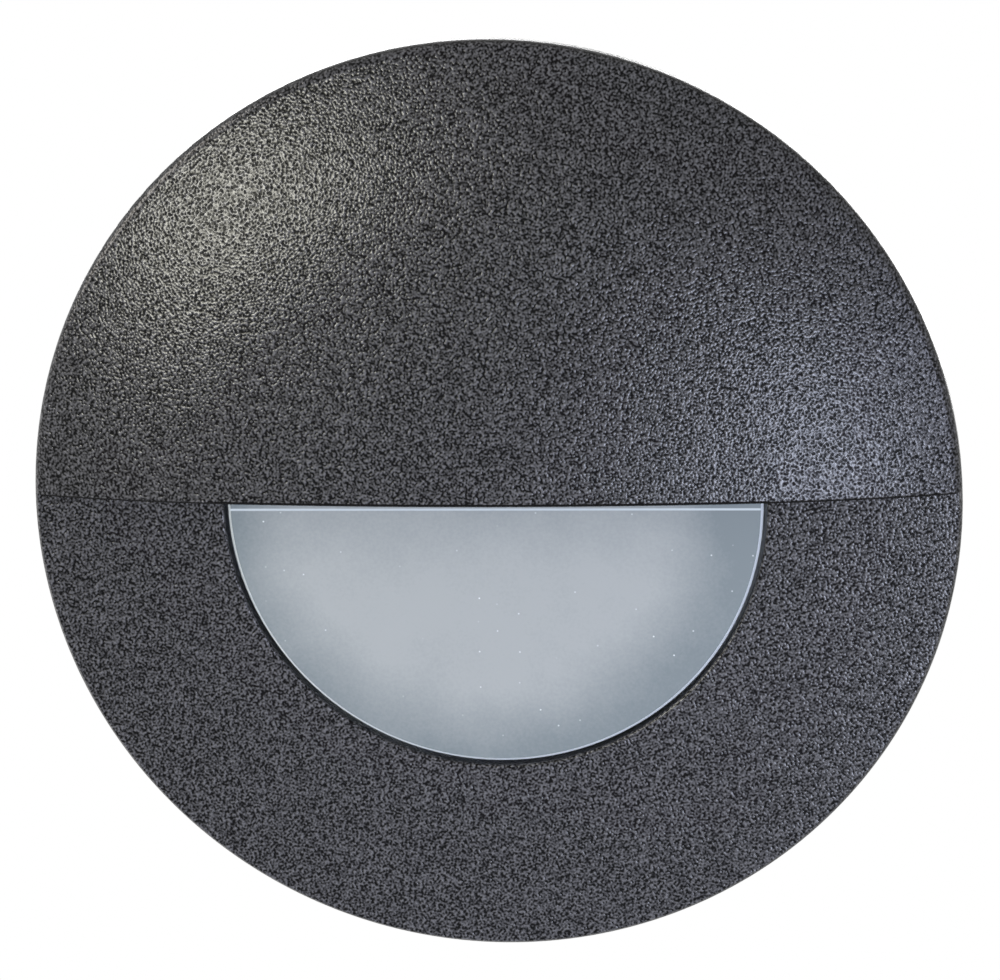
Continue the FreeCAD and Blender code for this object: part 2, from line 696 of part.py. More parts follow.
# Centre line of the torsion spring about its own axis: a straight tail set square into the bracket's
# cheek, the open turns, and a leg along the arm that ends in a hook square through the blade.
class SpringLine:
    def __init__(self):
        self.mean = value("coil_mean")
        self.bend = value("hook_bend")
        self.begin = math.radians(value("coil_start"))
        self.finish = math.radians(90 - value("arm_angle"))
        self.sweep = self.begin - self.finish + 2 * math.pi * value("coil_full_turns")
        self.rise = value("coil_pitch") / (2 * math.pi)
        self.low = -0.5 * self.rise * self.sweep
        self.leg = V(math.sin(self.finish), -math.cos(self.finish), 0)
        self.hook = V(-math.cos(self.finish), -math.sin(self.finish), 0)

    def point(self, swept):
        angle = self.begin - swept
        return V(self.mean * math.cos(angle), self.mean * math.sin(angle), self.low + self.rise * swept)

    def heading(self, swept):
        angle = self.begin - swept
        return V(self.mean * math.sin(angle), -self.mean * math.cos(angle), self.rise).normalize()

    # Distance from a corner to where a bend of the given radius leaves each of its two lines.
    def setback(self, radius, first, second):
        return radius * math.tan(first.getAngle(second) / 2)

    def tail_corner(self):
        back = self.setback(self.bend, V(0, 0, 1), self.heading(0))
        return self.point(0) - self.heading(0) * back

    def edges(self):
        up = V(0, 0, 1)
        edges = []
        corner = self.tail_corner()
        back = self.setback(self.bend, up, self.heading(0))
        foot = V(corner.x, corner.y, -value("cheek_outer"))
        edges.append(Part.LineSegment(foot, corner - up * back).toShape())
        edges.append(arc_from(corner - up * back, up, self.point(0)))
        steps = math.ceil(self.sweep / (math.pi / 2))
        for k in range(steps):
            here, there = self.sweep * k / steps, self.sweep * (k + 1) / steps
            edges += biarc(self.point(here), self.heading(here), self.point(there), self.heading(there))
        level = 3 * self.mean
        back = self.setback(level, self.heading(self.sweep), self.leg)
        corner = self.point(self.sweep) + self.heading(self.sweep) * back
        edges.append(arc_from(self.point(self.sweep), self.heading(self.sweep), corner + self.leg * back))
        start = corner + self.leg * back
        along = value("hook_place") - self.bend - start.dot(self.leg)
        edges.append(Part.LineSegment(start, start + self.leg * along).toShape())
        turn_in = start + self.leg * along
        turn_out = turn_in + (self.leg + self.hook) * self.bend
        edges.append(arc_from(turn_in, self.leg, turn_out))
        reach = self.mean - self.bend + value("arm_half_thick + wire_radius")
        edges.append(Part.LineSegment(turn_out, turn_out + self.hook * reach).toShape())
        self.leg_height = start.z
        return edges


def arc_from(start, heading, stop):
    chord = stop - start
    along = V(chord).normalize()
    side = heading - along * heading.dot(along)
    rise = 0.5 * chord.Length * math.tan(0.5 * heading.getAngle(chord))
    return Part.Arc(start, (start + stop) * 0.5 + side.normalize() * rise, stop).toShape()


def biarc(start, heading, stop, leaving):
    chord = stop - start
    total = heading + leaving
    lean = 2 * (1 - heading.dot(leaving))
    reach = (-chord.dot(total) + math.sqrt(chord.dot(total) ** 2 + lean * chord.dot(chord))) / lean
    middle = (start + stop + (heading - leaving) * reach) * 0.5
    onward = middle - (start + heading * reach)
    return [arc_from(start, heading, middle), arc_from(middle, onward, stop)]


# Least clear distance between turns, from points along the centre line more than half a turn apart.
def least_gap(edges, wire, half_turn_length):
    points = []
    travelled = 0.0
    for edge in edges:
        for k in range(12):
            spot = edge.FirstParameter + (edge.LastParameter - edge.FirstParameter) * k / 12
            points.append((travelled + edge.Length * k / 12, edge.valueAt(spot)))
        travelled += edge.Length
    return min(a.distanceToPoint(b) for i, (s, a) in enumerate(points)
               for t, b in points[i + 1:] if t - s > half_turn_length) - 2 * wire


spring_line = SpringLine()
spring_edges = spring_line.edges()


def clip_spring(side):
    wire = value("wire_radius")
    start = spring_edges[0].Vertexes[0].Point
    section = Part.Wire(Part.Circle(start, V(0, 0, 1), wire).toShape())
    shell = Part.BRepOffsetAPI.MakePipeShell(Part.Wire(spring_edges))
    shell.add(section)
    shell.build()
    shell.makeSolid()
    feature = doc.addObject("Part::Feature", "clip_spring_" + side)
    feature.Shape = shell.shape()
    feature.Placement = on_clip_axis(side)
    return feature


def clip_bracket(side):
    body = new_body("clip_bracket_" + side)
    base = sketch_on(body, "XY_Plane", "bracket_base_" + side)
    rectangle(base, "side_pad", "side_pad + sheet_thick", "base_front", "base_back")
    pad(body, base, "2*cheek_outer", midplane=True)
    for name, level in (("upper", "cheek_inner"), ("lower", "- cheek_outer")):
        cheek = sketch_on(body, "XY_Plane", "bracket_%s_cheek_%s" % (name, side), level)
        outline(cheek, [
            ("side_pad", "pivot_y - cheek_foot"),
            ("side_pad + sheet_thick", "pivot_y - cheek_foot"),
            ("pivot_x", "pivot_y - cheek_round"),
            ("pivot_x", "pivot_y + cheek_round"),
            ("side_pad + sheet_thick", "pivot_y + cheek_foot"),
            ("side_pad", "pivot_y + cheek_foot"),
        ], {2: ("cheek_round", True)})
        pad(body, cheek, "cheek_outer - cheek_inner")
    pin = sketch_on(body, "XY_Plane", "bracket_pin_hole_" + side)
    circle(pin, "pivot_x", "pivot_y", "pin_radius + hole_play")
    pocket(body, pin, "3*cheek_outer", midplane=True)
    corner = spring_line.tail_corner()
    tail = sketch_on(body, "XY_Plane", "bracket_tail_hole_" + side, "- cheek_inner")
    circle(tail, shifted("pivot_x", corner.x), shifted("pivot_y", corner.y), "tail_hole")
    pocket(body, tail, "cheek_outer - cheek_inner")
    screws_through = sketch_on(body, "YZ_Plane", "bracket_screw_holes_" + side, "side_pad + sheet_thick")
    for place in ("clip_screw_front", "clip_screw_back"):
        circle(screws_through, place, "0", "screw_shank + 0.1")
    pocket(body, screws_through, "sheet_thick")
    body.Placement = hand[side]
    return body


def shifted(text, number):
    return "%s %s %.4f" % (text, "-" if number < 0 else "+", abs(number))


def clip_screws(side):
    body = new_body("clip_screws_" + side)
    sketch = sketch_on(body, "XY_Plane", "clip_screw_section_" + side)
    face = "side_pad + sheet_thick"
    tip = face + " - clip_screw_long"
    top = face + " + clip_screw_head_tall"
    middle = "clip_screw_front"
    outline(sketch, [
        (tip, middle),
        (face, middle),
        (top + " - 0.4*clip_screw_head_tall", middle),
        (top + " - 0.4*clip_screw_head_tall", middle + " + 0.4*clip_screw_head"),
        (top, middle + " + 0.4*clip_screw_head"),
        (top, middle + " + 0.7*clip_screw_head"),
        (face + " + 0.4*clip_screw_head_tall", middle + " + clip_screw_head"),
        (face, middle + " + clip_screw_head"),
        (face, middle + " + screw_shank"),
        (tip, middle + " + screw_shank"),
    ])
    axis = sketch.addGeometry(Part.LineSegment(V(0, value(middle), 0), V(1, value(middle), 0)), True)
    hold_point(sketch, axis, 1, ("0", middle))
    hold_point(sketch, axis, 2, ("1", middle))
    first = turn(body, sketch, "Axis0")
    body.AllowCompound = True
    row_of_two = body.newObject("PartDesign::LinearPattern", "clip_screw_row_" + side)
    row_of_two.Originals = [first]
    row_of_two.Direction = (datum(body, "Y_Axis"), [""])
    row_of_two.Occurrences = 2
    bind(row_of_two, "Length", "clip_screw_back - clip_screw_front")
    body.Tip = row_of_two
    body.Placement = hand[side]
    return body


def clip_pin(side):
    body = new_body("clip_pin_" + side)
    sketch = sketch_on(body, "XZ_Plane", "clip_pin_section_" + side, minus("pivot_y"))
    outer = "pin_half + pin_head_tall"
    outline(sketch, [
        ("pivot_x", minus(outer)),
        ("pivot_x + pin_head", minus(outer)),
        ("pivot_x + pin_head", "- pin_half"),
        ("pivot_x + pin_radius", "- pin_half"),
        ("pivot_x + pin_radius", "pin_half"),
        ("pivot_x + pin_head", "pin_half"),
        ("pivot_x + pin_head", outer),
        ("pivot_x", outer),
    ])
    axis = sketch.addGeometry(Part.LineSegment(V(value("pivot_x"), 0, 0), V(value("pivot_x"), 1, 0)), True)
    hold_point(sketch, axis, 1, ("pivot_x", "0"))
    hold_point(sketch, axis, 2, ("pivot_x", "1"))
    turn(body, sketch, "Axis0")
    body.Placement = hand[side]
    return body


# The blade's outline, seen square to the sheet.
blade = [
    ("arm_start", "- arm_cheek_outer"),
    ("arm_waist", "- arm_cheek_outer"),
    ("arm_tip", "- arm_tip_half"),
    ("arm_tip", "arm_tip_half"),
    ("arm_waist", "arm_cheek_outer"),
    ("arm_start", "arm_cheek_outer"),
]


def clip_arm(side):
    body = new_body("clip_arm_" + side)
    sheet_outline = sketch_on(body, "XZ_Plane", "arm_blade_" + side)
    outline(sheet_outline, blade)
    pad(body, sheet_outline, "2*arm_half_thick", midplane=True)
    for name, level in (("upper", "arm_cheek_inner"), ("lower", "- arm_cheek_outer")):
        cheek = sketch_on(body, "XY_Plane", "arm_%s_cheek_%s" % (name, side), level)
        outline(cheek, [
            ("0", "- arm_cheek_round"),
            ("arm_waist", "- arm_half_thick"),
            ("arm_waist", "arm_half_thick"),
            ("0", "arm_cheek_round"),
        ], {3: ("arm_cheek_round", True)})
        pad(body, cheek, "arm_cheek_outer - arm_cheek_inner")
    rib = sketch_on(body, "XZ_Plane", "arm_rib_" + side, "- arm_half_thick - rib_rise")
    rectangle(rib, "rib_start", "rib_end", "- rib_half", "rib_half")
    pad(body, rib, "arm_half_thick + rib_rise")
    pin = sketch_on(body, "XY_Plane", "arm_pin_hole_" + side)
    circle(pin, "0", "0", "pin_radius + pin_play")
    pocket(body, pin, "3*arm_cheek_outer", midplane=True)
    hook = sketch_on(body, "XZ_Plane", "arm_hook_hole_" + side)
    circle(hook, "hook_place", shifted("0", spring_line.leg_height), "hook_hole")
    pocket(body, hook, "4*arm_half_thick", midplane=True)
    body.Placement = on_arm(side)
    return body


def clip_foot(side):
    body = new_body("clip_foot_" + side)
    block = sketch_on(body, "XZ_Plane", "foot_outline_" + side)
    rectangle(block, "foot_start", "foot_end", "- foot_half", "foot_half")
    pad(body, block, "2*foot_half_thick", midplane=True)
    soften(body, "foot_round", lambda edge: edge.BoundBox.XMin > value("foot_end") - 0.01)
    slot = sketch_on(body, "XZ_Plane", "foot_slot_" + side)
    outline(slot, blade)
    pocket(body, slot, "2*arm_half_thick", midplane=True)
    body.Placement = on_arm(side)
    return body


nodes = [
    faceplate(),
    ring("wall_gasket", "foam_inner", "foam_outer", "- foam_thick", "0"),
    lens(),
    ring("lens_gasket", "seal_inner", "seat_radius - 0.1", seat, lens_step),
    lens_ring(),
    screws("ring_screws", "ring_pitch", ring_back, -1, fine_screw, "fine_long", 4, 0.0),
    reflector(),
    led_board(),
    led_chips(),
    thermal_pad(),
    screws("board_screws", "board_pitch", "board_front", 1, stout_screw, "board_screw_long", 3, 90.0),
    housing(),
    housing_gasket(),
    screws("housing_screws", "boss_pitch", flange_back, -1, stout_screw, "housing_screw_long", 4,
           housing_start),
    driver_board(),
    driver_spacers(),
    screws("driver_screws", "driver_pitch", driver_back, -1, stout_screw,
           "spacer_tall + driver_thick + 0.6*web_thick", 3, -tower_turn),
    transformer(),
    capacitor(),
    terminal_block(),
    back_cover(),
    cover_gasket(),
    screws("cover_screws", "tower_pitch", cover_back, -1, stout_screw, "cover_screw_long", 3, tower_turn),
    gland_body(),
    ring("gland_washer", "gland_thread + 0.1", "0.86*gland_hex", cover_back, gland_front),
    gland_locknut(),
    ring("gland_bush", "bush_bore", "bush_radius", bush_front, bush_back),
    gland_nut(),
]
for side in ("left", "right"):
    nodes += [clip_bracket(side), clip_screws(side), clip_pin(side), clip_spring(side), clip_arm(side),
              clip_foot(side)]

doc.recompute()
for item in doc.Objects:
    if "Invalid" in item.State or "Error" in item.State:
        raise RuntimeError(item.Label + " did not compute: " + str(item.State))
for node in nodes:
    if node.Shape.isNull() or not node.Shape.isValid():
        raise RuntimeError(node.Label + " has no valid shape")

print("spring: least gap between turns %.2f mm" % least_gap(
    spring_edges, value("wire_radius"), math.pi * value("coil_mean")))
os.makedirs("parts", exist_ok=True)
for node in nodes:
    node.Shape.exportStep("parts/%s.step" % node.Label)
    print("%-20s %2d solid(s) %9.1f mm3" % (node.Label, len(node.Shape.Solids), node.Shape.Volume))
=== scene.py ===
import json
import math
import bmesh
import bpy
from mathutils import Matrix, Vector


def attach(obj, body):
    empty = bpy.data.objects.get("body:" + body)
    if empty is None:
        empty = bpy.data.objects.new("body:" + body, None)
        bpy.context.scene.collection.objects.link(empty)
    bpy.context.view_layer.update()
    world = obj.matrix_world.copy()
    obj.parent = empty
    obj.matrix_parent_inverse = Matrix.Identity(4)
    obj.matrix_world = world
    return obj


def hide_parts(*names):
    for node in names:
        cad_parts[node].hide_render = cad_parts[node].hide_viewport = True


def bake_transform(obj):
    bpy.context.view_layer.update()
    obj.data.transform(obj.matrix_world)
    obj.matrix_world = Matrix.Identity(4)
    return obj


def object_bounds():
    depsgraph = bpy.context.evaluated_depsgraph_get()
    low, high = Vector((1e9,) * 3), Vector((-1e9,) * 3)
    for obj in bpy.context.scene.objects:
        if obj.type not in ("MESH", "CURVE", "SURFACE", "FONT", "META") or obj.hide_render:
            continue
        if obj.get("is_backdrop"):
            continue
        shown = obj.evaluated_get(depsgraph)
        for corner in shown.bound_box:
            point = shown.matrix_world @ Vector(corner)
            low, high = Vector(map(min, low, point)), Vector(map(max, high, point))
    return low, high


# Round step light with an eyelid hood: powder coated front, frosted lens, sprung clips behind the wall.
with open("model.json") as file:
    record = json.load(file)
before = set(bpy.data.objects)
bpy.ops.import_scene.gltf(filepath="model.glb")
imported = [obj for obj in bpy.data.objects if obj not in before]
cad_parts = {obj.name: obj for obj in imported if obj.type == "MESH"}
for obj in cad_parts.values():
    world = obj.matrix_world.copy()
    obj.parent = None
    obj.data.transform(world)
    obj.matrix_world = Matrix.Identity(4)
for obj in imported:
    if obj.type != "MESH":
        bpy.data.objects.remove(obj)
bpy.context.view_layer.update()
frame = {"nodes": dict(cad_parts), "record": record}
nodes = frame["nodes"]
mm = 0.001
scene = bpy.context.scene
scene.view_settings.view_transform = "Standard"
print("frame loaded:", len(nodes), "nodes")


# An sRGB hex colour, made linear.
def linear(code):
    channels = [int(code[i:i + 2], 16) / 255 for i in (1, 3, 5)]
    return [c / 12.92 if c <= 0.04045 else ((c + 0.055) / 1.055) ** 2.4 for c in channels] + [1.0]


# One node with its settings, and a link or a value for each input that is named.
def addNode(tree, kind, inputs={}, **settings):
    node = tree.nodes.new("ShaderNode" + kind)
    for name, choice in settings.items():
        setattr(node, name, choice)
    for name, source in inputs.items():
        if isinstance(source, bpy.types.NodeSocket):
            tree.links.new(source, node.inputs[name])
        else:
            node.inputs[name].default_value = source
    return node


def emptyMaterial(name):
    material = bpy.data.materials.new(name)
    material.use_nodes = True
    material.node_tree.nodes.clear()
    return material, material.node_tree


# Every grained finish has a fine noise and a slow one: how much detail they hold, the span of their
# product that runs from the dark tone to the light one, and how far the slow one moves the roughness.
grained = {"fineDetail": 3.0, "fineRoughness": 0.6, "slowDetail": 2.0, "toneSpan": (0.12, 0.42),
           "slowSpan": (0.3, 0.7), "roughMost": 0.05}


# A finish with a fine grain: the colour wanders a little between two tones, and the same grain lifts it.
# Its grain and drift, the sizes of the two noises, and its depth are in mm.
def grainedMaterial(name, look):
    material, tree = emptyMaterial(name)
    place = addNode(tree, "TexCoord").outputs["Object"]
    grain = addNode(tree, "TexNoise", {"Vector": place, "Scale": 1 / (look["grain"] * mm),
                                       "Detail": grained["fineDetail"],
                                       "Roughness": grained["fineRoughness"]})
    drift = addNode(tree, "TexNoise", {"Vector": place, "Scale": 1 / (look["drift"] * mm),
                                       "Detail": grained["slowDetail"]})
    share = addNode(tree, "Math", {0: grain.outputs["Fac"], 1: drift.outputs["Fac"]}, operation="MULTIPLY")
    share = addNode(tree, "MapRange", {"Value": share.outputs["Value"], "From Min": grained["toneSpan"][0],
                                       "From Max": grained["toneSpan"][1]})
    tone = addNode(tree, "Mix", {"Factor": share.outputs["Result"], 6: linear(look["dark"]),
                                 7: linear(look["light"])}, data_type="RGBA")
    rough = addNode(tree, "MapRange", {"Value": drift.outputs["Fac"], "From Min": grained["slowSpan"][0],
                                       "From Max": grained["slowSpan"][1],
                                       "To Min": look["roughness"] - grained["roughMost"],
                                       "To Max": look["roughness"] + grained["roughMost"]})
    bump = addNode(tree, "Bump", {"Height": grain.outputs["Fac"], "Distance": look["depth"] * mm})
    shader = addNode(tree, "BsdfPrincipled", {
        "Base Color": tone.outputs[2], "Roughness": rough.outputs["Result"],
        "Normal": bump.outputs["Normal"], "Metallic": look.get("metallic", 0.0)})
    addNode(tree, "OutputMaterial", {"Surface": shader.outputs["BSDF"]})
    return material


# Polyester powder coat, anthracite, sprayed and cured to a fine texture: satin peaks about 0.6 mm apart,
# with painted shade in the hollows between them, darker in colour and in reflection as if they saw less of
# the room, so each peak has its own bright and dark side. A painted shadow darkens the hood's lip and its
# underside, and the coat darkens to a line at the rim. Places and sizes are in mm: x across, y back to the
# wall, z up.
# painted shade in the hollows: their colour and their reflection darken with depth
coat = {"hollow": "#0a0a0b", "peak": "#58585d",
        "toneSpan": (0.13, 0.72), "steepness": 2.0,  # from hollow to peak: height to this power
        "hollowGloss": "#585858", "peakGloss": "#ffffff", "glossSpan": (0.30, 0.70),
        "roughness": 0.22, "ior": 1.55,
        "grain": 0.235, "depth": 0.045,  # the noise's size, whose lumps are 0.6 apart, and its height
        "turned": (35, 20, 50),  # degrees, so that no face lies along the noise's own grid
        "lip": (1.18, 1.38),  # z over which the painted shade on the hood's lip and its underside fades out upwards
        "lipAside": (1.14, 1.24), "asideFrom": (-6.75, -6.6),  # the same beside the lens, from this y
        "flangeFrom": (-3.2, -3.1),  # y behind which the flange gets no painted shade
        "rim": (44.98, 44.75)}  # radius over which the darker line at the rim fades out inwards


def coatMaterial(name, look):
    material, tree = emptyMaterial(name)
    place = addNode(tree, "TexCoord").outputs["Object"]
    turned = addNode(tree, "Mapping", {"Vector": place,
                                       "Rotation": [math.radians(angle) for angle in look["turned"]]})
    height = addNode(tree, "TexNoise", {"Vector": turned.outputs["Vector"],
                                        "Scale": 1 / (look["grain"] * mm), "Detail": 0.0}).outputs["Fac"]
    axes = addNode(tree, "SeparateXYZ", {"Vector": place}).outputs
    flat = addNode(tree, "CombineXYZ", {"X": axes["X"], "Z": axes["Z"]}).outputs["Vector"]
    reach = addNode(tree, "VectorMath", {0: flat}, operation="LENGTH").outputs["Value"]
    # masks that darken the coat: painted shade on the hood's lip and its underside, and a darker line at
    # the rim
    past = {}
    for edge, value in (("lip", axes["Z"]), ("lipAside", axes["Z"]), ("asideFrom", axes["Y"]),
                        ("flangeFrom", axes["Y"]), ("rim", reach)):
        past[edge] = addNode(tree, "MapRange", {"Value": value, "From Min": look[edge][0] * mm,
                                                "From Max": look[edge][1] * mm},
                             interpolation_type="SMOOTHSTEP").outputs["Result"]
    lip = addNode(tree, "Mix", {"Factor": past["asideFrom"], 2: past["lip"], 3: past["lipAside"]})
    lip = addNode(tree, "Math", {0: lip.outputs["Result"], 1: past["flangeFrom"]},
                  operation="MAXIMUM").outputs["Value"]
    share = height
    for undarkened in (lip, past["rim"]):
        share = addNode(tree, "Math", {0: share, 1: undarkened}, operation="MULTIPLY").outputs["Value"]
    steep = addNode(tree, "Math", {0: share, 1: look["steepness"]}, operation="POWER").outputs["Value"]
    # hollow to peak, in colour and in reflection: painted shade that darkens the hollows
    tones = []
    for value, span, low, high in ((steep, "toneSpan", "hollow", "peak"),
                                   (share, "glossSpan", "hollowGloss", "peakGloss")):
        amount = addNode(tree, "MapRange", {"Value": value, "From Min": look[span][0],
                                            "From Max": look[span][1]})
        tones.append(addNode(tree, "Mix", {"Factor": amount.outputs["Result"], 6: linear(look[low]),
                                           7: linear(look[high])}, data_type="RGBA").outputs[2])
    bump = addNode(tree, "Bump", {"Height": height, "Distance": look["depth"] * mm})
    shader = addNode(tree, "BsdfPrincipled", {
        "Base Color": tones[0], "Roughness": look["roughness"], "IOR": look["ior"],
        "Specular Tint": tones[1], "Normal": bump.outputs["Normal"]})
    addNode(tree, "OutputMaterial", {"Surface": shader.outputs["BSDF"]})
    return material


# Moulded polycarbonate with a frosted face: milky blue-grey and faintly mottled, with a painted glow from
# the cup behind it that fades towards its rim, a painted shadow of the hood across its top, a painted
# highlight on its bevel, a painted pale line of highlight where it goes under the hood's lip, and a few
# specks of dust. Places and sizes are in mm.
frost = {"centre": "#9da2a5", "edge": "#6e797f", "roughness": 0.45, "ior": 1.58,
         "middle": (-1.7, 0.0, 0.0), "fade": (17.0, 27.0),  # painted glow: from the centre tone to the edge tone, away from the middle
         "shade": (-9.0, 0.0), "shadeShare": 0.3,  # z over which the hood's painted shadow fades in, and how far
         "drift": 5.0, "driftDetail": 4.0, "driftMost": 0.1,  # slow clouds in the tone
         "grain": 0.3, "grainDetail": 2.0, "mottle": 0.08, "depth": 0.004,  # fine mottle and its relief
         "noiseSpan": (0.3, 0.7),  # the values of both noises between which the tone wanders
         # painted highlight along the lens's bevel, from this radius out
         "bevel": "#e2eaf0", "bevelFrom": 25.75,
         "line": "#c2ccd4", "lineUp": -0.56, "lineHalf": (0.16, 0.05),  # painted pale highlight line under the hood's lip: its z, and half its width
         "speck": "#dfe5ea", "speckPitch": 1.9, "speckEdge": (0.12, 0.03), "speckShare": 0.16}


def frostMaterial(name, look):
    material, tree = emptyMaterial(name)
    place = addNode(tree, "TexCoord").outputs["Object"]
    # laid flat as seen from the front, with x across and z down
    flat = addNode(tree, "Mapping", {"Vector": place, "Rotation": (math.radians(90), 0, 0),
                                     "Scale": (1, 0, 1)}).outputs["Vector"]
    reach = addNode(tree, "VectorMath", {0: flat}, operation="LENGTH").outputs["Value"]
    aside = addNode(tree, "VectorMath", {0: flat, 1: Vector(look["middle"]) * mm}, operation="DISTANCE")
    up = addNode(tree, "SeparateXYZ", {"Vector": place}).outputs["Z"]
    drift = addNode(tree, "TexNoise", {"Vector": place, "Scale": 1 / (look["drift"] * mm),
                                       "Detail": look["driftDetail"]})
    grain = addNode(tree, "TexNoise", {"Vector": place, "Scale": 1 / (look["grain"] * mm),
                                       "Detail": look["grainDetail"]})
    cells = addNode(tree, "TexVoronoi", {"Vector": flat, "Scale": 1 / (look["speckPitch"] * mm)},
                    feature="F1", voronoi_dimensions="2D")
    away = addNode(tree, "Math", {0: cells.outputs["Distance"], 1: look["speckPitch"] * mm},
                   operation="MULTIPLY")
    offLine = addNode(tree, "Math", {0: up, 1: -look["lineUp"] * mm}, operation="ADD").outputs["Value"]
    offLine = addNode(tree, "Math", {0: offLine}, operation="ABSOLUTE")
    past = {}
    for edge, value in (("shade", up), ("fade", aside.outputs["Value"]),
                        ("speckEdge", away.outputs["Value"]), ("lineHalf", offLine.outputs["Value"])):
        past[edge] = addNode(tree, "MapRange", {"Value": value, "From Min": look[edge][0] * mm,
                                                "From Max": look[edge][1] * mm},
                             interpolation_type="SMOOTHSTEP").outputs["Result"]
    # painted glow fading from the centre tone to the edge tone, plus the hood's painted shadow across the
    # top
    share = addNode(tree, "Math", {0: past["shade"], 1: look["shadeShare"], 2: past["fade"]},
                    operation="MULTIPLY_ADD").outputs["Value"]
    for noise, most in ((drift, look["driftMost"]), (grain, look["mottle"])):
        wander = addNode(tree, "MapRange", {"Value": noise.outputs["Fac"], "From Min": look["noiseSpan"][0],
                                            "From Max": look["noiseSpan"][1], "To Min": -most,
                                            "To Max": most})
        share = addNode(tree, "Math", {0: share, 1: wander.outputs["Result"]},
                        operation="ADD").outputs["Value"]
    tone = addNode(tree, "Mix", {"Factor": share, 6: linear(look["centre"]), 7: linear(look["edge"])},
                   data_type="RGBA").outputs[2]
    chance = addNode(tree, "SeparateColor", {"Color": cells.outputs["Color"]}).outputs
    chosen = addNode(tree, "Math", {0: chance["Red"], 1: look["speckShare"]}, operation="LESS_THAN")
    chosen = addNode(tree, "Math", {0: chosen.outputs["Value"], 1: chance["Green"]},
                     operation="MULTIPLY").outputs["Value"]
    speck = addNode(tree, "Math", {0: past["speckEdge"], 1: chosen}, operation="MULTIPLY").outputs["Value"]
    onBevel = addNode(tree, "Math", {0: reach, 1: look["bevelFrom"] * mm},
                      operation="GREATER_THAN").outputs["Value"]
    # paler marks: dust specks, and the painted highlights of the line under the hood's lip and of the bevel
    for factor, paler in ((speck, "speck"), (past["lineHalf"], "line"), (onBevel, "bevel")):
        tone = addNode(tree, "Mix", {"Factor": factor, 6: tone, 7: linear(look[paler])},
                       data_type="RGBA").outputs[2]
    bump = addNode(tree, "Bump", {"Height": grain.outputs["Fac"], "Distance": look["depth"] * mm})
    shader = addNode(tree, "BsdfPrincipled", {"Base Color": tone, "Roughness": look["roughness"],
                                              "IOR": look["ior"], "Normal": bump.outputs["Normal"]})
    addNode(tree, "OutputMaterial", {"Surface": shader.outputs["BSDF"]})
    return material


